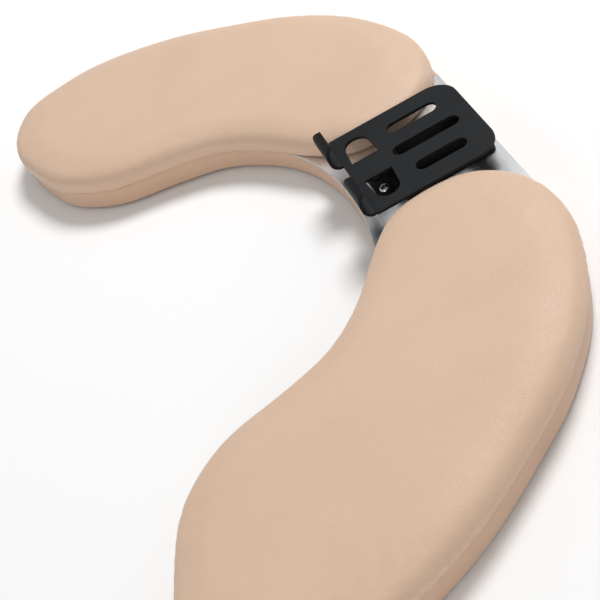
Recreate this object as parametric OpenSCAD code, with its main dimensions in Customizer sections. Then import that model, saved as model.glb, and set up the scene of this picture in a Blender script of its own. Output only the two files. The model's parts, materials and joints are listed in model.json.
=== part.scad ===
// Horseshoe manicure hand rest: two mirrored arm pads on one U-shaped base,
// a steel plate across the bridge and a folding phone holder bolted to it.
// The U opens towards -Y. Everything is in millimetres, with the floor at z = 0.

/* [Pads] */
// Width of the gap between the two pads at the bridge
pad_gap = 57; // [56:1:100]
// Width of one pad, from the bridge outwards
pad_w = 198.5; // [175:0.5:230]
// Length of one pad, from its tip to the back of the bridge
pad_len = 218; // [190:1:240]
// Full height of a pad in the middle of its crown
pad_t = 13; // [12:0.2:15]
// Width over which the pad's top edge is rounded
pad_edge = 11; // [9:0.5:12]
// How far the pads overhang the base all round
pad_overhang = 2.2; // [1:0.2:3]
// Thickness of the pad's leatherette with its lining
skin_t = 1; // [0.6:0.1:1.4]
// Width of the leatherette folded under the pad's board
pad_lap = 12; // [8:1:16]
// Thickness of the pad's plywood board
pad_board_t = 4; // [3:0.5:5]

/* [Base] */
// Thickness of the base board with its cover
base_t = 11.5; // [10:0.5:20]
// Thickness of the leatherette round the base
wrap_t = 0.8; // [0.6:0.1:1.2]
// Width of the leatherette folded over and under the base board
wrap_lap = 10; // [7:1:13]
// Gap between the folded leatherette and the lining underneath
lining_gap = 0.3; // [0.2:0.1:1]
// Height of a rubber foot
foot_h = 1.5; // [1:0.5:4]
// Radius of a rubber foot
foot_r = 8; // [5:0.5:10]

/* [Bridge] */
// Depth of the bridge, from the inner curve to the outer edge
bridge_d = 71.4; // [70:0.2:74]
// How far the bridge's outer edge lies behind the pads' highest point
edge_step = 2; // [1:0.1:5]
// Half width of the inner curve at the bridge
arc_half = 52; // [50:1:56]
// How far that curve falls back at its two ends
arc_drop = 9.5; // [8:0.5:11]
// Width of the steel plate across the bridge
plate_w = 116; // [110:1:150]
// Thickness of the steel plate
plate_t = 1.2; // [1:0.1:2]
// Running gap at the plate's two ends
plate_gap = 0.3; // [0.2:0.1:1]
// Shaft radius of the plate's countersunk screws
plate_screw_r = 1.9; // [1.5:0.1:2]
// Head radius of those screws
plate_screw_head_r = 3.6; // [3.2:0.1:4]
// Length of those screws
plate_screw_l = 8; // [6:0.5:9]
// Distance of those screws from the plate's ends
plate_screw_in = 14; // [10:1:18]
// Distance of those screws from the plate's outer edge
plate_screw_back = 16; // [14:1:18]
// Distance between the screws of one end
plate_screw_pitch = 32; // [26:1:34]

/* [Pad fixings] */
// Radius of the pad bolts
bolt_r = 2.45; // [2:0.05:3]
// Head radius of the pad bolts
bolt_head_r = 4.7; // [4.2:0.1:5.5]
// Head height of the pad bolts
bolt_head_t = 2.6; // [2:0.1:3]
// Radial gap of a bolt in its clearance hole
bolt_gap = 0.3; // [0.2:0.05:0.6]
// Radius of the counterbore under a bolt or nut
bore_r = 6.5; // [6.2:0.1:7.5]
// Depth of that counterbore
bore_d = 3.6; // [3.4:0.1:4.5]
// Flange radius of a T-nut
tnut_r = 7.5; // [6.5:0.1:9]
// Flange thickness of a T-nut
tnut_t = 1.2; // [0.8:0.1:1.5]
// Barrel radius of a T-nut
tnut_barrel_r = 3.3; // [3.2:0.1:4]
// Fitting gap round a T-nut and round a bolt's thread
fit_gap = 0.05; // [0.02:0.01:0.1]

/* [Holder base] */
// Thickness of the holder's steel sheet
sheet_t = 1.5; // [1.2:0.1:2]
// Width of the holder's base leaf
leaf_w = 40; // [38:1:46]
// Width of the tongue in front of the leaf
tongue_w = 22; // [20:1:26]
// Distance from the cradle's front edge to the tongue's end
tongue_y = 7; // [6.7:0.1:7.3]
// Distance from the cradle's front edge to the leaf's shoulder
leaf_y = 16.5; // [16:0.5:18]
// Distance from the cradle's front edge to the leaf's back edge
leaf_end_y = 65; // [65:0.5:66.5]
// Corner radius of the leaf
leaf_r = 3; // [1:0.5:4]
// Distance from the cradle's front edge to the holder's bolts
holder_bolt_y = 11.5; // [11.4:0.1:12.1]
// Distance between the holder's two bolts
holder_bolt_pitch = 14; // [12:0.1:14]
// Shaft radius of the holder's bolts
holder_bolt_r = 1.45; // [1.4:0.05:1.7]
// Head radius of the holder's bolts
holder_head_r = 2.7; // [2.4:0.1:3]
// Head height of the holder's bolts
holder_head_t = 1.8; // [1.4:0.1:2]
// Radius of the black washer under that head
holder_washer_r = 4.1; // [3.8:0.1:4.3]
// Thickness of that washer
holder_washer_t = 0.7; // [0.5:0.1:0.9]

/* [Holder hinges] */
// Radius of the hinge screws
pin_r = 1.5; // [1.3:0.1:1.6]
// Running gap between a hinge screw and the knuckle on it
pin_gap = 0.05; // [0.02:0.01:0.1]
// Height of both hinge axes above the plate
axis_h = 5.4; // [5.2:0.1:5.6]
// Distance from the cradle's front edge to the cradle's hinge
tilt_y = 23.2; // [22.9:0.1:23.6]
// Distance from the cradle's front edge to the arm's hinge
fold_y = 61.4; // [60.9:0.1:61.7]
// Radius of the arm's knuckles
knuckle_r = 2.8; // [2.6:0.1:3]
// Radius of the hinge ears
ear_r = 3.2; // [3:0.1:3.4]
// Distance between the inner faces of a pair of ears
ear_span = 28; // [26:0.5:29]
// Thickness of a nylon washer at the hinges
nylon_t = 0.6; // [0.4:0.1:1]
// Radius of a nylon washer
nylon_r = 3; // [2.8:0.1:3.1]
// Running gap between a nylon washer and a knuckle
nylon_gap = 0.1; // [0.05:0.05:0.3]
// Width of the arm's flat strip
arm_w = 22; // [18:1:24]
// Head radius of a hinge screw
pin_head_r = 2.75; // [2.5:0.05:3]
// Head height of a hinge screw
pin_head_t = 2; // [1.6:0.1:2.2]
// Distance across the flats of a lock nut
nut_af = 5.5; // [5:0.1:5.6]
// Thickness of a lock nut
nut_t = 2.4; // [2:0.1:2.5]

/* [Phone cradle] */
// Width of the cradle plate
cradle_w = 66; // [65:1:67]
// Length of the cradle plate
cradle_len = 65.6; // [65.3:0.1:66.9]
// Distance from the bridge's inner curve to the cradle's front edge
cradle_set = 3.6; // [3.1:0.1:4.1]
// Height of the cradle's upper face above the steel plate
cradle_h = 12.8; // [12.7:0.1:13.4]
// Corner radius at the cradle's back end
cradle_r = 12.4; // [4:0.2:16]
// Corner radius at the cradle's front end
cradle_front_r = 1.5; // [1:0.5:4.5]
// Width of the recess between the two hooks
hook_gap = 21.4; // [18:0.2:21.4]
// Width of one hook
hook_w = 21.8; // [16:0.2:21.8]
// Outer bend radius of a hook
hook_r = 5.5; // [4.5:0.1:6.5]
// Straight height of a hook between its two bends
hook_rise = 2.4; // [1:0.1:6]
// Corner radius at a hook's tip
hook_tip_r = 7; // [1:0.5:7.5]
// Width of the three slots
slot_w = 7.8; // [5:0.1:8.4]
// Distance from the middle slot to a side slot
slot_pitch = 18.1; // [16:0.1:19]
// Length of the middle slot
slot_mid_len = 35; // [20:0.1:36]
// Length of a side slot
slot_side_len = 26.4; // [16:0.1:26.8]
// Distance from the cradle's back edge to the middle slot
slot_mid_back = 7.9; // [6:0.1:10]
// Distance from the cradle's back edge to a side slot
slot_side_back = 12.1; // [9:0.1:12.4]
// Width of the web between the two D-shaped holes
web_w = 16.4; // [14:0.2:18]
// Length of a D-shaped hole across the cradle
dee_len = 18; // [14:0.5:19]
// Radius of the D-shaped hole's round end
dee_r = 6.2; // [5:0.1:6.3]
// Height of the D-shaped hole at its flat side
dee_h = 14.4; // [12.6:0.1:14.6]
// Distance from the cradle's front edge to the middle of the D-shaped holes
dee_y = 11.2; // [11:0.1:11.5]

/* [Hidden] */

leatherette = "#D9B89F";
black_coat = "#2E3033";
bright_steel = "#C9CBCC";
zinc = "#B9BCBE";
plywood = "#C8A477";
foam = "#EFE6C4";
black_cloth = "#26262A";
nylon = "#E8E6DF";

$fn = 48;
overrun = 1;
tiny_tip = 0.3;

// Levels, from the floor up
base_z = foot_h;
board_z = base_z + wrap_t;
top_z = base_z + base_t;
board_top = top_z - wrap_t;
seat_z = top_z - plate_t;
axis_z = top_z + axis_h;
cradle_top = top_z + cradle_h;
cradle_low = cradle_top - sheet_t;
pad_board_z = top_z + wrap_t;
pad_board_top = pad_board_z + pad_board_t;

// Places along Y, with the pads' length centred on the origin
pad_y = -pad_len / 2;
edge_y = pad_len / 2 - edge_step;
arc_y = edge_y - bridge_d;
front_y = arc_y + cradle_set;
tilt_axis_y = front_y + tilt_y;
fold_axis_y = front_y + fold_y;

// The pad's outline as shares of its width and length, clockwise from the
// middle of its bridge end: back of the bridge, outer side, tip, inner side
outline_shares = [[0, 0.803], [0.027, 0.899], [0.103, 0.966], [0.217, 0.998],
    [0.354, 0.987], [0.53, 0.921], [0.682, 0.81], [0.793, 0.684],
    [0.903, 0.531], [0.976, 0.373], [1, 0.242], [0.97, 0.096],
    [0.889, 0.026], [0.769, 0], [0.642, 0.025], [0.505, 0.081],
    [0.403, 0.193], [0.359, 0.336], [0.311, 0.457], [0.217, 0.552],
    [0.106, 0.627], [0.024, 0.702]];
// The stretch of that outline that the base follows, by its points
first_shared = 4;
last_shared = 19;
// The angle where a hook's inward bend ends, and where a D-shaped hole's does
hook_angle = 105;
dee_angle = 80;
// The pad's side from its foot to its crown: inset as a share of pad_edge,
// height as a share of pad_t
side_shares = [[0.12, 0], [0, 0.1], [0, 0.36], [0.07, 0.62], [0.29, 0.79],
    [0.7, 0.925], [1.25, 0.98], [2.1, 1]];
first_foam_ring = 3;
// Places of the pad bolts and of the feet, as shares of the pad's box
bolt_shares = [[0.27, 0.80], [0.52, 0.72], [0.74, 0.46], [0.71, 0.15]];
foot_shares = [[0.06, 0.91], [0.42, 0.86], [0.86, 0.46], [0.66, 0.09]];

pad_steps = 3;
base_steps = 6;
// How late the bridge's inner curve bends: 2 is a parabola
arc_power = 2.3;

// A point on the smooth curve between b and c, at t from 0 to 1
function curve_point(a, b, c, d, t) = 0.5 * (2 * b + (c - a) * t
    + (2 * a - 5 * b + 4 * c - d) * t * t + (3 * b - a - 3 * c + d) * t * t * t);
function closed_curve(p, steps) = let (n = len(p)) [for (i = [0 : n - 1])
    for (k = [0 : steps - 1]) curve_point(p[(i + n - 1) % n], p[i],
        p[(i + 1) % n], p[(i + 2) % n], k / steps)];
function open_curve(p, steps) = let (n = len(p)) concat(
    [for (i = [0 : n - 2]) for (k = [0 : steps - 1]) curve_point(
        p[max(i - 1, 0)], p[i], p[i + 1], p[min(i + 2, n - 1)], k / steps)],
    [p[n - 1]]);
// A clockwise outline moved inwards by d, square to its own run
function inset(p, d) = let (n = len(p)) [for (i = [0 : n - 1])
    let (t = p[(i + 1) % n] - p[(i + n - 1) % n], u = t / norm(t))
        p[i] + d * [u[1], -u[0]]];
function mirrored(p) = [for (i = [len(p) - 1 : -1 : 0]) [-p[i][0], p[i][1]]];
function arc(x, y, r, a, b, steps = 12) = [for (i = [0 : steps])
    let (t = a + (b - a) * i / steps) [x + r * cos(t), y + r * sin(t)]];
function in_pad(s) = [pad_gap / 2 + s[0] * pad_w, pad_y + s[1] * pad_len];

pad_points = [for (s = outline_shares) in_pad(s)];
pad_outline = closed_curve(pad_points, pad_steps);
// The base: outer side, tip and inner side of one pad, drawn in under its
// edge, the inner curve of the bridge, then the other side; the bridge's outer
// edge closes it
shoulder = [in_pad(outline_shares[first_shared - 1])[0], edge_y];
drawn_in = inset(pad_points, pad_overhang);
side_points = [for (i = [first_shared : last_shared]) drawn_in[i]];
arc_points = [for (s = [1, 0.5, 0, -0.5, -1])
    [s * arc_half, arc_y - arc_drop * pow(abs(s), arc_power)]];
base_outline = open_curve(concat([shoulder], side_points, arc_points,
    mirrored(side_points), mirrored([shoulder])), base_steps);

bolt_places = [for (s = bolt_shares) in_pad(s)];
foot_places = [for (s = foot_shares) in_pad(s)];
plate_screw_x = plate_w / 2 - plate_screw_in;
plate_screw_places = [for (x = [-plate_screw_x, plate_screw_x])
    for (i = [0, 1]) [x, edge_y - plate_screw_back - i * plate_screw_pitch]];
holder_bolt_places = [for (s = [-1, 1])
    [s * holder_bolt_pitch / 2, front_y + holder_bolt_y]];
knuckle_len = ear_span - 2 * nylon_t - 2 * nylon_gap;
nut_r = nut_af / (2 * cos(30));

// A ring of n points closed flat by triangles that reach across the pad, from
// its outer side to its inner side
function cap(n) = [for (i = [0 : n / 2 - 1]) for (k = [0, 1])
    if (i + k > 0 && i + k < n / 2)
        k == 0 ? [i, i + 1, n - i] : [i + 1, n - i - 1, (n - i) % n]];

// The closed form through a stack of rings, each an inset and a height
module loft(outline, rings) {
    n = len(outline);
    m = len(rings);
    points = [for (r = rings) for (p = inset(outline, r[0])) [p[0], p[1], r[1]]];
    walls = [for (i = [0 : m - 2]) for (j = [0 : n - 1])
        let (a = i * n + j, b = i * n + (j + 1) % n)
            each [[a, b, b + n], [a, b + n, a + n]]];
    first_cap = [for (t = cap(n)) [t[2], t[1], t[0]]];
    last_cap = [for (t = cap(n)) [for (j = t) (m - 1) * n + j]];
    polyhedron(points, concat(walls, first_cap, last_cap));
}

module slab(outline, low, high) {
    translate([0, 0, low]) linear_extrude(high - low) polygon(outline);
}

// Upright cylinders at a list of places
module posts(places, low, high, r) {
    for (p = places) translate([p[0], p[1], low]) cylinder(h = high - low, r = r);
}

module both_sides() {
    children();
    mirror([1, 0, 0]) children();
}

// A cylinder along X, centred on the middle plane
module across(y, z, r, length) {
    translate([-length / 2, y, z]) rotate([0, 90, 0]) cylinder(h = length, r = r);
}

// A flat shape drawn in Y and Z, made to run along X
module along_x(low, high) {
    translate([low, 0, 0]) rotate([90, 0, 90]) linear_extrude(high - low) children();
}

module plate_zone(half, low, high) {
    translate([-half, pad_y, low]) cube([2 * half, pad_len, high - low]);
}

module base_board() {
    color(plywood) difference() {
        slab(inset(base_outline, wrap_t), board_z, board_top);
        plate_zone(plate_w / 2 + plate_gap, seat_z - wrap_t, top_z + overrun);
        both_sides() {
            posts(bolt_places, board_z - overrun, top_z, bolt_r + bolt_gap);
            posts(bolt_places, board_z - overrun, board_z + bore_d, bore_r);
        }
        posts(holder_bolt_places, board_z - overrun, top_z, holder_bolt_r + bolt_gap);
        posts(holder_bolt_places, board_z - overrun, board_z + bore_d, bore_r);
        posts(plate_screw_places, top_z - plate_screw_l, top_z, plate_screw_r);
    }
}

module base_cover() {
    color(leatherette) difference() {
        union() {
            difference() {
                slab(base_outline, base_z, top_z);
                slab(inset(base_outline, wrap_t), board_z, board_top);
                slab(inset(base_outline, wrap_t + wrap_lap), base_z - overrun,
                    top_z + overrun);
                plate_zone(plate_w / 2 + plate_gap, seat_z, top_z + overrun);
            }
            intersection() {
                plate_zone(plate_w / 2 + plate_gap, seat_z - wrap_t, seat_z);
                difference() {
                    slab(inset(base_outline, wrap_t), seat_z - wrap_t, seat_z);
                    slab(inset(base_outline, wrap_t + wrap_lap),
                        seat_z - wrap_t - overrun, top_z);
                }
            }
        }
        posts(plate_screw_places, seat_z - overrun, top_z, plate_screw_r + bolt_gap);
        posts(holder_bolt_places, base_z - overrun, seat_z - wrap_t, bore_r);
        posts(holder_bolt_places, base_z - overrun, top_z, holder_bolt_r + bolt_gap);
    }
}

module base_lining() {
    color(black_cloth) difference() {
        slab(inset(base_outline, wrap_t + wrap_lap + lining_gap), base_z, board_z);
        both_sides() posts(bolt_places, base_z - overrun, top_z, bore_r);
        posts(holder_bolt_places, base_z - overrun, top_z, bore_r);
    }
}

module rubber_feet() {
    color(black_cloth) both_sides() posts(foot_places, 0, base_z, foot_r);
}

module bridge_plate() {
    color(bright_steel) difference() {
        intersection() {
            slab(base_outline, seat_z, top_z);
            plate_zone(plate_w / 2, seat_z - overrun, top_z + overrun);
        }
        posts(holder_bolt_places, seat_z - overrun, top_z + overrun,
            holder_bolt_r + bolt_gap);
        for (p = plate_screw_places) translate([p[0], p[1], seat_z])
            cylinder(h = plate_t, r1 = plate_screw_r, r2 = plate_screw_head_r);
        posts(plate_screw_places, seat_z - overrun, top_z, plate_screw_r);
    }
}

module plate_screws() {
    color(zinc) for (p = plate_screw_places) translate([p[0], p[1], 0]) {
        translate([0, 0, seat_z])
            cylinder(h = plate_t, r1 = plate_screw_r, r2 = plate_screw_head_r);
        translate([0, 0, top_z - plate_screw_l])
            cylinder(h = plate_screw_l - plate_t, r = plate_screw_r);
    }
}

module pad_board() {
    color(plywood) difference() {
        slab(inset(pad_outline, skin_t), pad_board_z, pad_board_top);
        posts(bolt_places, pad_board_z - overrun, pad_board_top + overrun,
            tnut_barrel_r + fit_gap);
        posts(bolt_places, pad_board_top - tnut_t, pad_board_top + overrun,
            tnut_r + fit_gap);
    }
}

foam_rings = concat([[skin_t, pad_board_top]],
    [for (i = [first_foam_ring : len(side_shares) - 1])
        [skin_t + side_shares[i][0] * pad_edge,
            top_z + side_shares[i][1] * pad_t - skin_t]]);
outer_rings = [for (s = side_shares) [s[0] * pad_edge, top_z + s[1] * pad_t]];

module pad_foam() {
    color(foam) loft(pad_outline, foam_rings);
}

// The stack runs down the inside, round the folded lap and up the outside
module pad_cover() {
    lap = skin_t + pad_lap;
    color(leatherette) loft(pad_outline, concat(
        [for (i = [len(foam_rings) - 1 : -1 : 0]) foam_rings[i]],
        [[skin_t, pad_board_z], [lap, pad_board_z], [lap, top_z]],
        outer_rings));
}

module pad_tnuts() {
    color(zinc) both_sides() difference() {
        union() {
            posts(bolt_places, pad_board_top - tnut_t, pad_board_top, tnut_r);
            posts(bolt_places, pad_board_z, pad_board_top, tnut_barrel_r);
        }
        posts(bolt_places, pad_board_z - overrun, pad_board_top + overrun,
            bolt_r + fit_gap);
    }
}

module pad_bolts() {
    head_top = board_z + bore_d;
    color(zinc) both_sides() {
        posts(bolt_places, head_top - bolt_head_t, head_top, bolt_head_r);
        posts(bolt_places, head_top, pad_board_top, bolt_r);
    }
}

// One ear of a hinge, from its round end at the axis to a level
module ear(axis_y, level, side) {
    low = side > 0 ? ear_span / 2 : -ear_span / 2 - sheet_t;
    along_x(low, low + sheet_t) difference() {
        union() {
            translate([axis_y, axis_z]) circle(r = ear_r);
            translate([axis_y - ear_r, min(level, axis_z)])
                square([2 * ear_r, abs(level - axis_z)]);
        }
        translate([axis_y, axis_z]) circle(r = pin_r + pin_gap);
    }
}

module holder_base() {
    leaf_front = front_y + leaf_y;
    leaf_back = front_y + leaf_end_y;
    tip = front_y + tongue_y;
    half = leaf_w / 2 - leaf_r;
    color(black_coat) {
        difference() {
            slab(concat(arc(half, leaf_back - leaf_r, leaf_r, 90, 0),
                arc(half, leaf_front + leaf_r, leaf_r, 0, -90),
                arc(tongue_w / 2 - leaf_r, tip + leaf_r, leaf_r, 0, -90),
                arc(-tongue_w / 2 + leaf_r, tip + leaf_r, leaf_r, -90, -180),
                arc(-half, leaf_front + leaf_r, leaf_r, -90, -180),
                arc(-half, leaf_back - leaf_r, leaf_r, 180, 90)),
                top_z, top_z + sheet_t);
            posts(holder_bolt_places, top_z - overrun, top_z + sheet_t + overrun,
                holder_bolt_r + bolt_gap);
        }
        for (side = [-1, 1]) ear(fold_axis_y, top_z + sheet_t, side);
    }
}

module holder_bolts() {
    seat = top_z + sheet_t + holder_washer_t;
    color(bright_steel) {
        posts(holder_bolt_places, seat, seat + holder_head_t, holder_head_r);
        posts(holder_bolt_places, board_z + tiny_tip, seat, holder_bolt_r);
    }
}

module holder_washers() {
    seat = top_z + sheet_t;
    color(black_coat) difference() {
        posts(holder_bolt_places, seat, seat + holder_washer_t, holder_washer_r);
        posts(holder_bolt_places, seat - overrun, seat + overrun,
            holder_bolt_r + fit_gap);
    }
}

// A six-sided lock nut along Z, standing on z = 0
module lock_nut(bore) {
    difference() {
        cylinder(h = nut_t, r = nut_r, $fn = 6);
        translate([0, 0, -overrun]) cylinder(h = nut_t + 2 * overrun, r = bore);
    }
}

module holder_nuts() {
    color(zinc) for (p = holder_bolt_places)
        translate([p[0], p[1], board_z + bore_d - nut_t])
            lock_nut(holder_bolt_r + fit_gap);
}

// The screw through a pair of ears, with its head on the -X side
module hinge_screw(axis_y) {
    outer = ear_span / 2 + sheet_t;
    color(black_coat) {
        translate([-outer - pin_head_t, axis_y, axis_z]) rotate([0, 90, 0])
            cylinder(h = pin_head_t, r = pin_head_r);
        translate([-outer, axis_y, axis_z]) rotate([0, 90, 0])
            cylinder(h = 2 * outer + nut_t + tiny_tip, r = pin_r);
    }
}

module hinge_nut(axis_y) {
    color(zinc) translate([ear_span / 2 + sheet_t, axis_y, axis_z])
        rotate([0, 90, 0]) lock_nut(pin_r + pin_gap);
}

module hinge_washers(axis_y) {
    color(nylon) both_sides() translate([ear_span / 2 - nylon_t, axis_y, axis_z])
        rotate([0, 90, 0]) difference() {
            cylinder(h = nylon_t, r = nylon_r);
            translate([0, 0, -overrun])
                cylinder(h = nylon_t + 2 * overrun, r = pin_r + pin_gap);
        }
}

module holder_arm() {
    color(black_coat) difference() {
        union() {
            for (y = [tilt_axis_y, fold_axis_y]) across(y, axis_z, knuckle_r, knuckle_len);
            translate([-arm_w / 2, tilt_axis_y, axis_z - sheet_t / 2])
                cube([arm_w, fold_axis_y - tilt_axis_y, sheet_t]);
        }
        for (y = [tilt_axis_y, fold_axis_y])
            across(y, axis_z, pin_r + pin_gap, knuckle_len + 2 * overrun);
    }
}

module arm_hinge_screw() { hinge_screw(fold_axis_y); }
module arm_hinge_nut() { hinge_nut(fold_axis_y); }
module arm_hinge_washers() { hinge_washers(fold_axis_y); }
module cradle_hinge_screw() { hinge_screw(tilt_axis_y); }
module cradle_hinge_nut() { hinge_nut(tilt_axis_y); }
module cradle_hinge_washers() { hinge_washers(tilt_axis_y); }

// A round-ended slot along Y, cut through the cradle
module slot(x, back, length) {
    r = slot_w / 2;
    high = front_y + cradle_len - back - r;
    low = high - length + slot_w;
    slab(concat(arc(x, high, r, 180, 0), arc(x, low, r, 0, -180)),
        cradle_low - overrun, cradle_top + overrun);
}

// A D-shaped hole: flat at the web, round at its outer end
module dee() {
    y = front_y + dee_y;
    end_x = web_w / 2 + dee_len - dee_r;
    slab(concat([[web_w / 2, y - dee_h / 2], [web_w / 2, y + dee_h / 2]],
        arc(end_x, y, dee_r, dee_angle, -dee_angle)), cradle_low - overrun, cradle_top + overrun);
}

// One hook: a bend up from the cradle's front edge, a rise, and a bend inwards
module hook() {
    x = hook_gap / 2;
    inner = hook_r - sheet_t;
    low = cradle_low + hook_r;
    high = low + hook_rise;
    tip = high + hook_r;
    intersection() {
        along_x(x, x + hook_w) polygon(concat(
            arc(front_y, low, hook_r, 270, 180), arc(front_y, high, hook_r, 180, hook_angle),
            arc(front_y, high, inner, hook_angle, 180), arc(front_y, low, inner, 180, 270)));
        translate([0, front_y + overrun, 0]) rotate([90, 0, 0])
            linear_extrude(hook_r + 2 * overrun) polygon(concat(
                [[x, cradle_low]],
                arc(x + hook_tip_r, tip - hook_tip_r, hook_tip_r, 180, 90),
                arc(x + hook_w - hook_tip_r, tip - hook_tip_r, hook_tip_r, 90, 0),
                [[x + hook_w, cradle_low]]));
    }
}

module phone_cradle() {
    half = cradle_w / 2;
    back = front_y + cradle_len;
    color(black_coat) {
        difference() {
            slab(concat(arc(half - cradle_r, back - cradle_r, cradle_r, 90, 0),
                arc(half - cradle_front_r, front_y + cradle_front_r,
                    cradle_front_r, 0, -90),
                arc(-half + cradle_front_r, front_y + cradle_front_r,
                    cradle_front_r, -90, -180),
                arc(-half + cradle_r, back - cradle_r, cradle_r, 180, 90)),
                cradle_low, cradle_top);
            slot(0, slot_mid_back, slot_mid_len);
            for (s = [-1, 1]) slot(s * slot_pitch, slot_side_back, slot_side_len);
            both_sides() dee();
        }
        both_sides() hook();
        for (side = [-1, 1]) ear(tilt_axis_y, cradle_low, side);
    }
}

base_board();
base_cover();
base_lining();
rubber_feet();
bridge_plate();
plate_screws();
mirror([1, 0, 0]) pad_board();  // pad_board_left
pad_board();  // pad_board_right
mirror([1, 0, 0]) pad_foam();  // pad_foam_left
pad_foam();  // pad_foam_right
mirror([1, 0, 0]) pad_cover();  // pad_cover_left
pad_cover();  // pad_cover_right
pad_tnuts();
pad_bolts();
holder_base();
holder_bolts();
holder_washers();
holder_nuts();
arm_hinge_screw();
arm_hinge_nut();
arm_hinge_washers();
holder_arm();
phone_cradle();
cradle_hinge_screw();
cradle_hinge_nut();
cradle_hinge_washers();
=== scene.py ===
# %% [markdown]
# # A padded hand rest for a nail table
# The object is a U-shaped rest for two forearms. Two leatherette pads lie on one
# covered base, a brushed steel plate spans the bridge between them, and a folding
# phone holder is bolted to that plate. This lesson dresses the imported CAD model:
# the frame gives every part its true place, and Blender gives it its looks.

# %% Load the frame
import json
import math

import bmesh
import bpy
from mathutils import Matrix, Vector

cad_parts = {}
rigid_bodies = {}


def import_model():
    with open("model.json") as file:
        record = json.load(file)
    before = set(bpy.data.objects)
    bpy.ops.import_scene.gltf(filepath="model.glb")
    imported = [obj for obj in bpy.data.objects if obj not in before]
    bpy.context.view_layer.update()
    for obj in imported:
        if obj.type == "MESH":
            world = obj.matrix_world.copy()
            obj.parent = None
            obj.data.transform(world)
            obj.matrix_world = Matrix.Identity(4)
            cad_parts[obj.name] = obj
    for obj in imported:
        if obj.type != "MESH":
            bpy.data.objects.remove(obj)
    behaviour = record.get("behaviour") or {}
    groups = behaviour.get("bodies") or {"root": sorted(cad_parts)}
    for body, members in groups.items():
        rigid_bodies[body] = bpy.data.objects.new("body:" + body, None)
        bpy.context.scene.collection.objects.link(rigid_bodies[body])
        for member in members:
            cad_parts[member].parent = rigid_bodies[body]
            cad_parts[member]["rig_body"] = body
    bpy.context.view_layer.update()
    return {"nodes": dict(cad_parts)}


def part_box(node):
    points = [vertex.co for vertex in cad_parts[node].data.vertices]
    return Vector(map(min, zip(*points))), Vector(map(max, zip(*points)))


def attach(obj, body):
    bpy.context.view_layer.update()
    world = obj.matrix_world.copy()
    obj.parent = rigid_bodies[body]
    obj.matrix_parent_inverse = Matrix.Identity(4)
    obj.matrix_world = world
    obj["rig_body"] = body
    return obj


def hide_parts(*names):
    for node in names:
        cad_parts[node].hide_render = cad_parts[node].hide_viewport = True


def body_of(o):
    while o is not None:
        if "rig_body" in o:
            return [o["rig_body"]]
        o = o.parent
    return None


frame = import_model()
nodes = frame["nodes"]

# %% [markdown]
# ## The camera
# The photograph was taken with a short telephoto lens, 40 degrees above one end,
# with the camera rolled so that the U lies across the frame. A camera's turn can
# be given as angles, as a look-at target, or as its own right and forward
# directions. The two directions are used here, because they hold the roll as well.

# %% Place the camera
forward = Vector((-0.76615, 0.00625, -0.64263)).normalized()
right = Vector((0.3182, 0.87247, -0.37088)).normalized()
up = right.cross(forward)
turn = Matrix((right, up, -forward)).transposed().to_4x4()

camera_data = bpy.data.cameras.new("camera")
camera_data.sensor_width = 36.0
camera_data.lens = 84.0
camera = bpy.data.objects.new("camera", camera_data)
camera.matrix_world = Matrix.Translation((0.52547, -0.01365, 0.41625)) @ turn
bpy.context.scene.collection.objects.link(camera)
bpy.context.scene.camera = camera
print("camera height:", round(camera.matrix_world.translation.z, 3), "m")

# %% [markdown]
# ## Colours and nodes
# Paint charts give colours as sRGB hex values, but a shader wants linear light,
# so one function converts them. A second one adds a shader node, sets its
# values and links its inputs, which keeps each material a short list of steps.

# %% Helpers for materials
MM = 0.001
MERGE = 0.002 * MM


def linear(hex_value, alpha=1.0):
    channels = [int(hex_value[i:i + 2], 16) / 255 for i in (1, 3, 5)]
    return tuple(c / 12.92 if c <= 0.04045 else ((c + 0.055) / 1.055) ** 2.4
                 for c in channels) + (alpha,)


def new_material(name):
    material = bpy.data.materials.new(name)
    material.use_nodes = True
    tree = material.node_tree
    return material, tree, tree.nodes["Principled BSDF"]


def add(tree, kind, values=None, links=None, **settings):
    node = tree.nodes.new(kind)
    for name, value in settings.items():
        setattr(node, name, value)
    for key, value in (values or {}).items():
        node.inputs[key].default_value = value
    for key, source in (links or {}).items():
        tree.links.new(source, node.inputs[key])
    return node


def ramp(tree, source, stops):
    node = add(tree, "ShaderNodeValToRGB", links={"Fac": source})
    band = node.color_ramp.elements
    while len(band) < len(stops):
        band.new(0.5)
    for element, (place, colour) in zip(band, stops):
        element.position = place
        element.color = colour
    return node.outputs["Color"]


def finish_surface(tree, shader, colour=None, roughness=None, height=None, bump=0.3, step=1.0):
    if colour:
        tree.links.new(colour, shader.inputs["Base Color"])
    if roughness:
        tree.links.new(roughness, shader.inputs["Roughness"])
    if height:
        node = add(tree, "ShaderNodeBump", {"Strength": bump, "Distance": step * MM},
                   {"Height": height})
        tree.links.new(node.outputs["Normal"], shader.inputs["Normal"])


print("peach in linear light:", [round(c, 3) for c in linear("#DFBEA8")])

# %% [markdown]
# ## Leatherette
# The pads and the base are covered in polyurethane leatherette: a soft skin cast
# on paper that is embossed with small pebbles about 0.9 mm across, over a knitted
# back. It scatters light softly, with a faint sheen on the pebbles' tops. Cells
# of a Voronoi pattern give the pebbles, and fine noise breaks their edges.

# %% Make the leatherette


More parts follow.
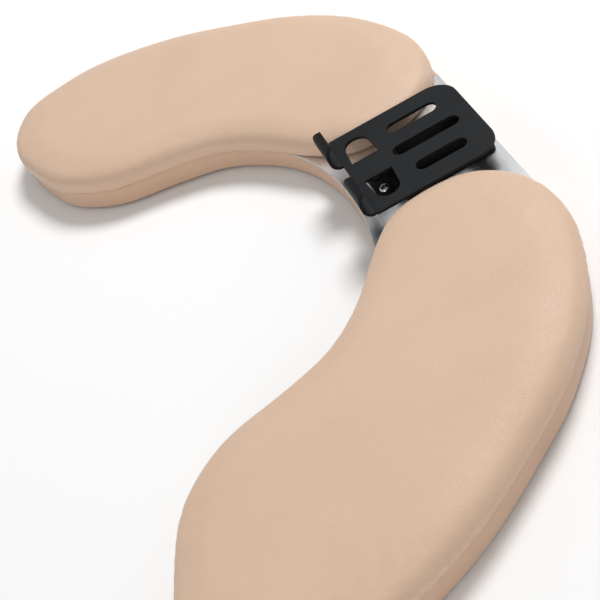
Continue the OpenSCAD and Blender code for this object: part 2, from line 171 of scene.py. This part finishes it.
def make_leatherette(name, base, shade, light, grain=0.9):
    material, tree, shader = new_material(name)
    place = add(tree, "ShaderNodeTexCoord").outputs["Object"]
    wobble = add(tree, "ShaderNodeTexNoise", {"Scale": 420.0, "Detail": 2.0},
                 {"Vector": place})
    bent = add(tree, "ShaderNodeVectorMath", links={0: place, 1: add(
        tree, "ShaderNodeVectorMath", {"Scale": 0.5 * MM},
        {0: wobble.outputs["Color"]}, operation="SCALE").outputs[0]}, operation="ADD")
    cells = add(tree, "ShaderNodeTexVoronoi", {"Scale": 1 / (grain * MM)},
                {"Vector": bent.outputs[0]}, feature="DISTANCE_TO_EDGE")
    pebble = add(tree, "ShaderNodeMapRange", {"From Max": 0.28},
                 {"Value": cells.outputs["Distance"]}, interpolation_type="SMOOTHSTEP")
    fine = add(tree, "ShaderNodeTexNoise", {"Scale": 900.0, "Detail": 3.0},
               {"Vector": place})
    patches = add(tree, "ShaderNodeTexNoise", {"Scale": 26.0, "Detail": 4.0, "Roughness": 0.55},
                  {"Vector": place})
    tone = ramp(tree, patches.outputs["Fac"],
                [(0.3, linear(shade)), (0.5, linear(base)), (0.72, linear(light))])
    # Painted shade: the gaps between the pebbles are made up to 7 per cent darker
    crease_shade = add(tree, "ShaderNodeMapRange", {"From Max": 0.16, "To Min": 0.93, "To Max": 1.0},
                 {"Value": cells.outputs["Distance"]})
    colour = add(tree, "ShaderNodeVectorMath", links={0: tone, 1: crease_shade.outputs[0]},
                 operation="MULTIPLY")
    height = add(tree, "ShaderNodeMath", {1: 0.35}, {0: fine.outputs["Fac"], 2: pebble.outputs[0]},
                 operation="MULTIPLY_ADD")
    gloss = add(tree, "ShaderNodeMapRange", {"To Min": 0.6, "To Max": 0.47},
                {"Value": pebble.outputs[0]})
    finish_surface(tree, shader, colour.outputs[0], gloss.outputs[0], height.outputs[0], 0.34, 0.12)
    shader.inputs["IOR"].default_value = 1.45
    shader.inputs["Sheen Weight"].default_value = 0.08
    shader.inputs["Sheen Roughness"].default_value = 0.5
    return material


leatherette = make_leatherette("polyurethane leatherette embossed", "#D3B49B", "#D1B198", "#D5B69E")
side_leatherette = make_leatherette("polyurethane leatherette on the base", "#D0AE94",
                                    "#CDAA8F", "#D2B197")
print("materials so far:", len(bpy.data.materials))

# %% [markdown]
# ## Metals
# The bridge plate is stainless steel, rolled and then brushed lengthwise, so its
# fine scratches run across the bridge and stretch its reflections. The phone
# holder is sheet steel with a baked powder coat, which dries into a very fine
# orange peel. The fixings are zinc plated or blackened.

# %% Make the metals


def make_brushed(name, base, roughness, stretch):
    material, tree, shader = new_material(name)
    place = add(tree, "ShaderNodeTexCoord").outputs["Object"]
    long = add(tree, "ShaderNodeMapping", {"Scale": stretch}, {"Vector": place})
    # Scratches are drawn 0.25 mm apart, coarser than real ones, so that they show
    scratch = add(tree, "ShaderNodeTexNoise", {"Scale": 4000.0, "Detail": 3.0, "Roughness": 0.6},
                  {"Vector": long.outputs[0]})
    bands = add(tree, "ShaderNodeTexNoise", {"Scale": 260.0, "Detail": 2.0},
                {"Vector": long.outputs[0]})
    tone = ramp(tree, scratch.outputs["Fac"],
                [(0.3, tuple(0.9 * c for c in linear(base)[:3]) + (1,)), (0.7, linear(base))])
    gloss = add(tree, "ShaderNodeMapRange",
                {"To Min": roughness - 0.06, "To Max": roughness + 0.08},
                {"Value": bands.outputs["Fac"]})
    finish_surface(tree, shader, tone, gloss.outputs[0], scratch.outputs["Fac"], 0.1, 0.03)
    shader.inputs["Metallic"].default_value = 1.0
    return material


def make_coated(name, base, light, roughness, peel, specular=0.5):
    material, tree, shader = new_material(name)
    place = add(tree, "ShaderNodeTexCoord").outputs["Object"]
    skin = add(tree, "ShaderNodeTexNoise", {"Scale": 1 / (peel * MM), "Detail": 2.0},
               {"Vector": place})
    clouds = add(tree, "ShaderNodeTexNoise", {"Scale": 60.0, "Detail": 3.0}, {"Vector": place})
    tone = ramp(tree, clouds.outputs["Fac"], [(0.35, linear(base)), (0.7, linear(light))])
    gloss = add(tree, "ShaderNodeMapRange",
                {"To Min": roughness - 0.05, "To Max": roughness + 0.07},
                {"Value": clouds.outputs["Fac"]})
    finish_surface(tree, shader, tone, gloss.outputs[0], skin.outputs["Fac"], 0.12, 0.05)
    shader.inputs["Specular IOR Level"].default_value = specular
    return material


brushed_steel = make_brushed("stainless steel brushed lengthwise", "#EBECED", 0.3, (0.03, 1, 1))
bright_steel = make_brushed("stainless steel turned", "#D6D7D9", 0.2, (1, 1, 1))
zinc_plate = make_brushed("steel zinc plated", "#B7BABD", 0.36, (0.5, 1, 1))
powder_coat = make_coated("steel powder coated black", "#16181B", "#1B1D20", 0.5, 0.5, 0.12)
black_oxide = make_coated("steel blackened", "#17181A", "#202225", 0.4, 0.3)
print("metals ready")

# %% [markdown]
# ## The materials underneath
# Nobody sees the board, the foam and the lining from the front, but a reader who
# turns the rest over does. The lining is a black spun-bonded cloth with a grid of
# small pressed dots, the boards are birch plywood and the foam is an open-celled
# yellow block. The feet are moulded rubber and the hinge washers are nylon.

# %% Make the hidden materials


def make_plain(name, base, dark, roughness, spacing, feature="noise", bump=0.3, step=0.1):
    material, tree, shader = new_material(name)
    place = add(tree, "ShaderNodeTexCoord").outputs["Object"]
    if feature == "dots":
        pattern = add(tree, "ShaderNodeTexVoronoi",
                      {"Scale": 1 / (spacing * MM), "Randomness": 0.12}, {"Vector": place})
        height = pattern.outputs["Distance"]
    else:
        pattern = add(tree, "ShaderNodeTexNoise", {"Scale": 1 / (spacing * MM), "Detail": 4.0},
                      {"Vector": place})
        height = pattern.outputs["Fac"]
    tone = ramp(tree, height, [(0.25, linear(dark)), (0.6, linear(base))])
    finish_surface(tree, shader, tone, None, height, bump, step)
    shader.inputs["Roughness"].default_value = roughness
    return material


def make_plywood(name, face, edge):
    material, tree, shader = new_material(name)
    place = add(tree, "ShaderNodeTexCoord").outputs["Object"]
    flat = add(tree, "ShaderNodeMapping", {"Scale": (0.06, 1, 1)}, {"Vector": place})
    grain = add(tree, "ShaderNodeTexNoise", {"Scale": 500.0, "Detail": 5.0, "Distortion": 0.6},
                {"Vector": flat.outputs[0]})
    # Plies are 1.3 mm thick, so the wave repeats every second one
    plies = add(tree, "ShaderNodeTexWave", {"Scale": 1 / (2.6 * MM) / 3.2, "Distortion": 0.2},
                {"Vector": place}, bands_direction="Z")
    mixed = add(tree, "ShaderNodeMath", {1: 0.45},
                {0: plies.outputs["Fac"], 2: grain.outputs["Fac"]}, operation="MULTIPLY_ADD")
    tone = ramp(tree, mixed.outputs[0], [(0.35, linear(edge)), (0.8, linear(face))])
    finish_surface(tree, shader, tone, None, grain.outputs["Fac"], 0.15, 0.05)
    shader.inputs["Roughness"].default_value = 0.6
    return material


plywood = make_plywood("birch plywood", "#D2B083", "#A37B4C")
foam = make_plain("polyurethane foam open celled", "#E9DDB0", "#CDBD86", 0.9, 0.6, bump=0.6)
lining = make_plain("spun bonded lining cloth", "#26272A", "#15161A", 0.85, 1.6, "dots", 0.5, 0.15)
rubber = make_plain("moulded rubber", "#232324", "#1B1B1C", 0.7, 0.4, bump=0.2)
nylon = make_plain("natural nylon", "#E5E2D8", "#D8D4C7", 0.42, 1.2, bump=0.05)

plain_nodes = {
    plywood: ["base_board", "pad_board_left", "pad_board_right"],
    foam: ["pad_foam_left", "pad_foam_right"],
    lining: ["base_lining"],
    rubber: ["rubber_feet"],
    brushed_steel: ["bridge_plate"],
    zinc_plate: ["plate_screws", "pad_tnuts", "pad_bolts", "holder_nuts",
                 "arm_hinge_nut", "cradle_hinge_nut"],
    bright_steel: ["holder_bolts"],
    powder_coat: ["holder_base", "holder_arm", "phone_cradle", "holder_washers"],
    black_oxide: ["arm_hinge_screw", "cradle_hinge_screw"],
    nylon: ["arm_hinge_washers", "cradle_hinge_washers"],
    side_leatherette: ["base_cover"],
    leatherette: ["pad_cover_left", "pad_cover_right"],
}
for material, names in plain_nodes.items():
    for name in names:
        nodes[name].data.materials.clear()
        nodes[name].data.materials.append(material)
print("CAD nodes dressed:", sum(len(v) for v in plain_nodes.values()))

# %% [markdown]
# ## Pieces from meshes
# A new piece is a mesh, a material and a body that it rides on. The helper below
# also hides the CAD nodes that the piece stands in for. A copy of a CAD node comes as loose
# triangles, so it is merged first and its flat faces are joined.

# %% Helpers for pieces


def copy_of(*names, join=0.0):
    shape = bmesh.new()
    for name in names:
        shape.from_mesh(nodes[name].data)
    bmesh.ops.remove_doubles(shape, verts=shape.verts, dist=MERGE)
    if join:
        bmesh.ops.dissolve_limit(shape, angle_limit=math.radians(join),
                                 verts=shape.verts, edges=shape.edges)
    return shape


def make_piece(name, shape, material, body, replaced, smooth=40):
    mesh = bpy.data.meshes.new(name)
    shape.to_mesh(mesh)
    shape.free()
    for face in mesh.polygons:
        face.use_smooth = True
    mesh.set_sharp_from_angle(angle=math.radians(smooth))
    mesh.materials.append(material)
    piece = bpy.data.objects.new(name, mesh)
    bpy.context.scene.collection.objects.link(piece)
    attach(piece, body)
    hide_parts(*replaced)
    return piece


def apply_modifiers(piece):
    graph = bpy.context.evaluated_depsgraph_get()
    graph.update()
    done = bpy.data.meshes.new_from_object(piece.evaluated_get(graph))
    piece.modifiers.clear()
    old = piece.data
    piece.data = done
    bpy.data.meshes.remove(old)


def drop(piece):
    mesh = piece.data
    bpy.data.objects.remove(piece)
    bpy.data.meshes.remove(mesh)


# %% [markdown]
# ## The pads
# Each pad is foam on a board with the leatherette pulled tight over both and
# stapled underneath, so it has a soft roll along its upper edge, a slightly
# domed top and a crisp line where it turns under. The solids of the pad are
# joined into one even mesh, and a cloth simulation with a little air pressure
# lets the skin settle. The foot is then cut clean and tucked in.

# %% Blow up one pad
PAD_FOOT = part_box("pad_cover_right")[0].z
VOXEL = 2.6 * MM
HELD = 3.0 * MM
FRAMES = 12
# The furthest that the skin may swell, and how little of that beside the holder,
# which is bolted close to the pads: from HOLDER_HALF outwards it grows back
CAP = 0.5 * MM
LEAST = 0.15
HOLDER_HALF = 40 * MM
GROWS_OVER = 25 * MM


def even_pad(side):
    shape = copy_of(f"pad_cover_{side}", f"pad_foam_{side}", f"pad_board_{side}")
    mesh = bpy.data.meshes.new("pad_start")
    shape.to_mesh(mesh)
    shape.free()
    pad = bpy.data.objects.new("pad_start", mesh)
    bpy.context.scene.collection.objects.link(pad)
    even = pad.modifiers.new("even", "REMESH")
    even.mode = "VOXEL"
    even.voxel_size = VOXEL
    soft = pad.modifiers.new("soft", "SMOOTH")
    soft.factor = 0.5
    soft.iterations = 3
    apply_modifiers(pad)
    return pad


def settle_cloth(pad, pressure=4.0):
    start = [vertex.co.copy() for vertex in pad.data.vertices]
    held = pad.vertex_groups.new(name="held")
    held.add([v.index for v in pad.data.vertices if v.co.z < PAD_FOOT + HELD], 1.0, "REPLACE")
    cloth = pad.modifiers.new("cloth", "CLOTH")
    cloth.settings.use_pressure = True
    cloth.settings.uniform_pressure_force = pressure
    cloth.settings.vertex_group_mass = "held"
    cloth.settings.effector_weights.gravity = 0.0
    cloth.settings.quality = 5
    scene = bpy.context.scene
    for number in range(1, FRAMES + 1):
        scene.frame_set(number)
    apply_modifiers(pad)
    scene.frame_set(1)
    for vertex, old in zip(pad.data.vertices, start):
        move = vertex.co - old
        cap = CAP * min(1.0, max(LEAST, (abs(old.x) - HOLDER_HALF) / GROWS_OVER))
        if move.length > cap:
            vertex.co = old + move.normalized() * cap


pad = even_pad("right")
print("even mesh:", len(pad.data.vertices), "vertices")
settle_cloth(pad)
finer = pad.modifiers.new("finer", "SUBSURF")
finer.levels = finer.render_levels = 1
apply_modifiers(pad)
print("settled mesh:", len(pad.data.vertices), "vertices")

# %% [markdown]
# ## The pads' foot
# A voxel mesh rounds every corner, but the real skin turns under sharply at the
# board. So the mesh is cut level just above its foot, the open rim is drawn down
# and inwards in three steps, and the bottom is closed. The left pad is the right
# one mirrored, with its normals turned out again.

# %% Cut and tuck the foot
# Each step: how far down and how far inwards, in millimetres
FOOT_STEPS = ((1.5, 0.0), (0.8, 0.3), (0.9, 0.9))
FOOT_CUT = sum(down for down, _ in FOOT_STEPS) * MM


def tuck_foot(shape):
    everything = shape.verts[:] + shape.edges[:] + shape.faces[:]
    bmesh.ops.bisect_plane(shape, geom=everything, plane_co=(0, 0, PAD_FOOT + FOOT_CUT),
                           plane_no=(0, 0, 1), clear_inner=True)
    rim = [edge for edge in shape.edges if edge.is_boundary]
    outward = {}
    for vert in {v for edge in rim for v in edge.verts}:
        out = sum((face.normal for face in vert.link_faces), Vector())
        outward[vert] = Vector((out.x, out.y, 0)).normalized()
    for down, draw_in in FOOT_STEPS:
        grown = bmesh.ops.extrude_edge_only(shape, edges=rim)["geom"]
        rim = [g for g in grown if isinstance(g, bmesh.types.BMEdge) and g.is_boundary]
        step = {}
        for vert in {v for edge in rim for v in edge.verts}:
            above = next(e.other_vert(vert) for e in vert.link_edges if not e.is_boundary
                         and e.other_vert(vert) in outward)
            step[vert] = outward[above]
        for vert, out in step.items():
            vert.co += Vector((0, 0, -down * MM)) - out * draw_in * MM
        outward = step
    foot = bmesh.ops.edgeloop_fill(shape, edges=rim)["faces"]
    bmesh.ops.triangulate(shape, faces=foot)
    bmesh.ops.recalc_face_normals(shape, faces=shape.faces)


for side in ("right", "left"):
    shape = bmesh.new()
    shape.from_mesh(pad.data)
    shape.normal_update()
    tuck_foot(shape)
    if side == "left":
        bmesh.ops.scale(shape, vec=(-1, 1, 1), verts=shape.verts)
        bmesh.ops.recalc_face_normals(shape, faces=shape.faces)
    piece = make_piece(f"pad_leather_{side}", shape, leatherette, "base",
                       [f"pad_cover_{side}", f"pad_foam_{side}"], smooth=50)
    print(piece.name, "faces:", len(piece.data.polygons))
drop(pad)

# %% [markdown]
# ## The base's cover
# The leatherette is folded round the edge of the base board, so its two rims are
# rolled. Only the long edges of the outer wall are rounded: they are found as the
# edges between a tall wall face and a level one at the cover's top or bottom.

# %% Roll the rims of the base
COVER_LOW, COVER_HIGH = (corner.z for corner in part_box("base_cover"))
ROLL = 1.2 * MM
TALL = 5 * MM
NEAR = 0.01 * MM


def is_rim(edge):
    level = (edge.verts[0].co.z + edge.verts[1].co.z) / 2
    off_rim = min(abs(level - COVER_LOW), abs(level - COVER_HIGH)) > NEAR
    if len(edge.link_faces) != 2 or off_rim:
        return False
    first, second = sorted(edge.link_faces, key=lambda face: abs(face.normal.z))
    heights = [vert.co.z for vert in first.verts]
    return abs(first.normal.z) < 0.1 and abs(second.normal.z) > 0.9 \
        and max(heights) - min(heights) > TALL


shape = copy_of("base_cover", join=0.5)
shape.normal_update()
rims = [edge for edge in shape.edges if is_rim(edge)]
print("rim edges:", len(rims), "of", len(shape.edges))
bmesh.ops.bevel(shape, geom=rims, offset=ROLL, offset_type="OFFSET", segments=3,
                profile=0.5, affect="EDGES", clamp_overlap=True)
base_wrap = make_piece("base_leather", shape, side_leatherette, "base",
                       ["base_cover"])
print("base_leather faces:", len(base_wrap.data.polygons))

# %% [markdown]
# ## Turned fixings
# Screws and bolts are turned parts, so each one is a stack of rings round its own
# axis. A ring is a circle, or a hexagon for the socket that the key fits. The CAD
# solids of a node give the places, and the rings give the shape from the head to
# the tip.

# %% Turn the screws
SIDES = 24


def ring(shape, radius, level, corners, place):
    verts = []
    for i in range(SIDES):
        angle = 2 * math.pi * i / SIDES
        reach = radius
        if corners:
            part = math.pi / corners
            reach = radius * math.cos(part) / math.cos((angle + part) % (2 * part) - part)
        verts.append(shape.verts.new(place @ Vector((reach * math.cos(angle),
                                                     reach * math.sin(angle), level))))
    return verts


def turned(shape, place, rings):
    rows = [ring(shape, radius * MM, level * MM, corners, place)
            for radius, level, corners in rings]
    for low, high in zip(rows, rows[1:]):
        for i in range(SIDES):
            j = (i + 1) % SIDES
            shape.faces.new((low[i], low[j], high[j], high[i]))
    shape.faces.new(rows[0][::-1])
    shape.faces.new(rows[-1])


def islands(name):
    # The box of each separate solid of a node, as its lowest and highest corner
    shape = copy_of(name)
    left = set(shape.verts)
    boxes = []
    while left:
        found = {left.pop()}
        front = list(found)
        while front:
            vert = front.pop()
            for edge in vert.link_edges:
                other = edge.other_vert(vert)
                if other in left:
                    left.discard(other)
                    found.add(other)
                    front.append(other)
        points = [vert.co.copy() for vert in found]
        boxes.append((Vector(min(p[k] for p in points) for k in range(3)),
                      Vector(max(p[k] for p in points) for k in range(3))))
    shape.free()
    return sorted(boxes, key=lambda box: tuple(box[0]))


def head_end(low, high, towards):
    # The head's outer end of one fixing, turned so that +Z points out of the head
    middle = (low + high) / 2
    direction = Vector(towards)
    for k in range(3):
        if direction[k]:
            middle[k] = high[k] if direction[k] > 0 else low[k]
    turn = direction.to_track_quat("Z", "Y").to_matrix().to_4x4()
    return Matrix.Translation(middle) @ turn


def button(head, shaft, height, socket, length, lead=0.4):
    # From the bottom of the socket, over the domed head, to the chamfered tip
    dome = [(head * share, -height * (1 - rise), 0) for share, rise in
            ((0.62, 0.99), (0.8, 0.88), (0.93, 0.64), (1.0, 0.28))]
    return [(socket * 0.98, -height * 0.72, 6), (socket, -0.05, 6), (socket * 1.12, 0, 0)] \
        + dome + [(head * 0.97, -height, 0), (shaft, -height - 0.02, 0),
                  (shaft, lead - length, 0), (shaft - lead, -length, 0)]


def countersunk(head, shaft, socket, length, lead=0.4):
    return [(socket * 0.98, -1.2, 6), (socket, -0.05, 6), (socket * 1.12, 0, 0),
            (head - 0.12, 0, 0), (head, -0.12, 0), (shaft, shaft - head - 0.1, 0),
            (shaft, lead - length, 0), (shaft - lead, -length, 0)]


def length_of(name, axis):
    low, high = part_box(name)
    return (high[axis] - low[axis]) / MM


def turn_fixings(name, piece_name, towards, rings, material, body="base"):
    shape = bmesh.new()
    places = islands(name)
    for low, high in places:
        turned(shape, head_end(low, high, towards), rings)
    bmesh.ops.recalc_face_normals(shape, faces=shape.faces)
    make_piece(piece_name, shape, material, body, [name], smooth=32)
    print(piece_name, "places:", len(places))


turn_fixings("holder_bolts", "holder_button_bolts", (0, 0, 1),
             button(2.7, 1.45, 1.8, 0.4, length_of("holder_bolts", 2)), bright_steel)
turn_fixings("pad_bolts", "pad_button_bolts", (0, 0, -1),
             button(4.7, 2.45, 2.6, 2.0, length_of("pad_bolts", 2)), zinc_plate)
turn_fixings("plate_screws", "plate_flat_screws", (0, 0, 1),
             countersunk(3.6, 1.9, 1.5, length_of("plate_screws", 2)), zinc_plate)
for axle in ("arm_hinge_screw", "cradle_hinge_screw"):
    turn_fixings(axle, f"{axle}_turned", (-1, 0, 0),
                 button(2.75, 1.5, 2.0, 1.15, length_of(axle, 0)), black_oxide,
                 body_of(nodes[axle])[0])

# %% [markdown]
# ## Soft edges on metal
# Sheet metal is never knife sharp: its edges catch a thin line of light. The edges
# could be cut into a new mesh for each node, but a live Weld and Bevel modifier
# breaks them by a few tenths of a millimetre, leaves the CAD shape underneath and
# can be changed later. The nuts, the washers and the feet get the same.

# %% Break the metal edges


def break_edges(name, width):
    node = nodes[name]
    weld = node.modifiers.new("weld", "WELD")
    weld.merge_threshold = MERGE
    bevel = node.modifiers.new("bevel", "BEVEL")
    bevel.width = width * MM
    bevel.segments = 2
    bevel.limit_method = "ANGLE"
    bevel.angle_limit = math.radians(50)
    bevel.harden_normals = False


worked = {"phone_cradle": 0.3, "holder_base": 0.25, "holder_arm": 0.25, "bridge_plate": 0.2,
          "holder_washers": 0.15, "holder_nuts": 0.25, "arm_hinge_nut": 0.25,
          "cradle_hinge_nut": 0.25, "arm_hinge_washers": 0.1, "cradle_hinge_washers": 0.1,
          "rubber_feet": 0.4}
for name, width in worked.items():
    break_edges(name, width)
print("edges broken on", len(worked), "nodes")

# %% [markdown]
# ## Light and floor
# The product was lit in a white room by a large soft light behind it, so its
# shadow falls inside the U. A plain world gives the even fill, one wide area lamp
# gives the shadow, and a weak low one lifts the walls that face the camera. The
# floor is a pale sheet, lit until it reads as white.

# %% Light the scene
world = bpy.data.worlds.new("room")
world.use_nodes = True
bpy.context.scene.world = world
world_tree = world.node_tree
background = world_tree.nodes["Background"]
background.inputs["Color"].default_value = (1, 1, 1, 1)
background.inputs["Strength"].default_value = 0.47


def add_lamp(name, place, size, power):
    data = bpy.data.lights.new(name, "AREA")
    data.shape = "DISK"
    data.size = size
    data.energy = power
    lamp = bpy.data.objects.new(name, data)
    aim = (-Vector(place)).to_track_quat("-Z", "Y")
    lamp.matrix_world = Matrix.Translation(place) @ aim.to_matrix().to_4x4()
    bpy.context.scene.collection.objects.link(lamp)


add_lamp("key", (-0.85, 1.0, 1.9), 0.9, 40.0)
add_lamp("fill", (1.6, -0.9, 0.42), 1.0, 7.0)

floor_shape = bmesh.new()
bmesh.ops.create_grid(floor_shape, x_segments=1, y_segments=1, size=6.0)
floor_mesh = bpy.data.meshes.new("floor")
floor_shape.to_mesh(floor_mesh)
floor_shape.free()
floor = bpy.data.objects.new("floor", floor_mesh)
bpy.context.scene.collection.objects.link(floor)

floor_material, _, floor_shader = new_material("white card")
floor_shader.inputs["Base Color"].default_value = (0.9, 0.9, 0.9, 1)
floor_shader.inputs["Roughness"].default_value = 0.9
floor_shader.inputs["Specular IOR Level"].default_value = 0.2
floor_mesh.materials.append(floor_material)

view = bpy.context.scene.view_settings
view.view_transform = "Standard"
